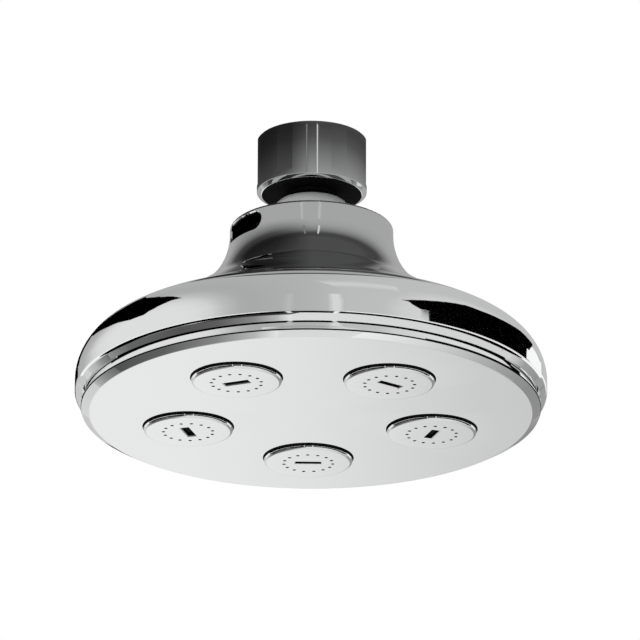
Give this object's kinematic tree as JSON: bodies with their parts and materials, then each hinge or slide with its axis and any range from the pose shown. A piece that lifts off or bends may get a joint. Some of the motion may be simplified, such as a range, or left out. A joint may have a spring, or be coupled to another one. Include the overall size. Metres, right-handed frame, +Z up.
{
  "type": "fixed shower head",
  "caption": "Round bell-shaped fixed shower head on a ball joint, with a threaded inlet nut above and a flat spray face of proud round nozzles below.",
  "frame": {"origin": "centre of the inlet nut's mouth, where the supply pipe enters", "axes": "+Z up the supply pipe, with the spray face looking down -Z; -Y is the front that the picture shows; +X is to the right seen from the front"},
  "size_m": [0.118, 0.118, 0.0751],
  "materials": {
    "nut_chrome": "polished chrome plate on brass",
    "ball_chrome": "polished chrome plate on brass",
    "body_chrome": "polished chrome plate on moulded plastic",
    "face_chrome": "polished chrome plate, slightly softer on the face",
    "nozzle_chrome": "polished chrome plate",
    "spring_steel": "bright spring steel",
    "filter_steel": "fine stainless screen",
    "screw_steel": "plain stainless steel",
    "washer_rubber": "black rubber",
    "seal_rubber": "black rubber",
    "seat_acetal": "black acetal",
    "restrictor_plastic": "grey-green plastic",
    "manifold_plastic": "grey moulded plastic"
  },
  "bodies": {
    "inlet": {"inlet_nut": "nut_chrome"},
    "stem": {"ball_stem": "ball_chrome", "nut_retaining_clip": "spring_steel", "inlet_washer": "washer_rubber", "inlet_filter_screen": "filter_steel", "flow_restrictor": "restrictor_plastic", "restrictor_o_ring": "seal_rubber"},
    "seats": {"upper_ball_seat": "seat_acetal", "lower_ball_seat": "seat_acetal", "ball_seal": "seal_rubber", "seat_o_ring": "seal_rubber"},
    "head": {"ball_retainer": "seat_acetal", "retainer_o_ring": "seal_rubber", "shower_body": "body_chrome", "water_manifold": "manifold_plastic", "manifold_o_ring": "seal_rubber", "manifold_screws": "screw_steel", "faceplate": "face_chrome", "nozzle_1": "nozzle_chrome", "nozzle_o_ring_1": "seal_rubber", "nozzle_2": "nozzle_chrome", "nozzle_o_ring_2": "seal_rubber", "nozzle_3": "nozzle_chrome", "nozzle_o_ring_3": "seal_rubber", "nozzle_4": "nozzle_chrome", "nozzle_o_ring_4": "seal_rubber", "nozzle_5": "nozzle_chrome", "nozzle_o_ring_5": "seal_rubber"}
  },
  "joints": [
    {"name": "stem_turn", "type": "hinge", "parent": "inlet", "child": "stem", "pos_m": [0, 0, -0.0264], "axis": [0, 0, 1], "continuous": true},
    {"name": "head_tilt", "type": "hinge", "parent": "stem", "child": "seats", "pos_m": [0, 0, -0.0264], "axis": [1, 0, 0], "range_deg": [-20, 20]},
    {"name": "head_turn", "type": "hinge", "parent": "seats", "child": "head", "pos_m": [0, 0, -0.0264], "axis": [0, 0, 1], "continuous": true}
  ]
}
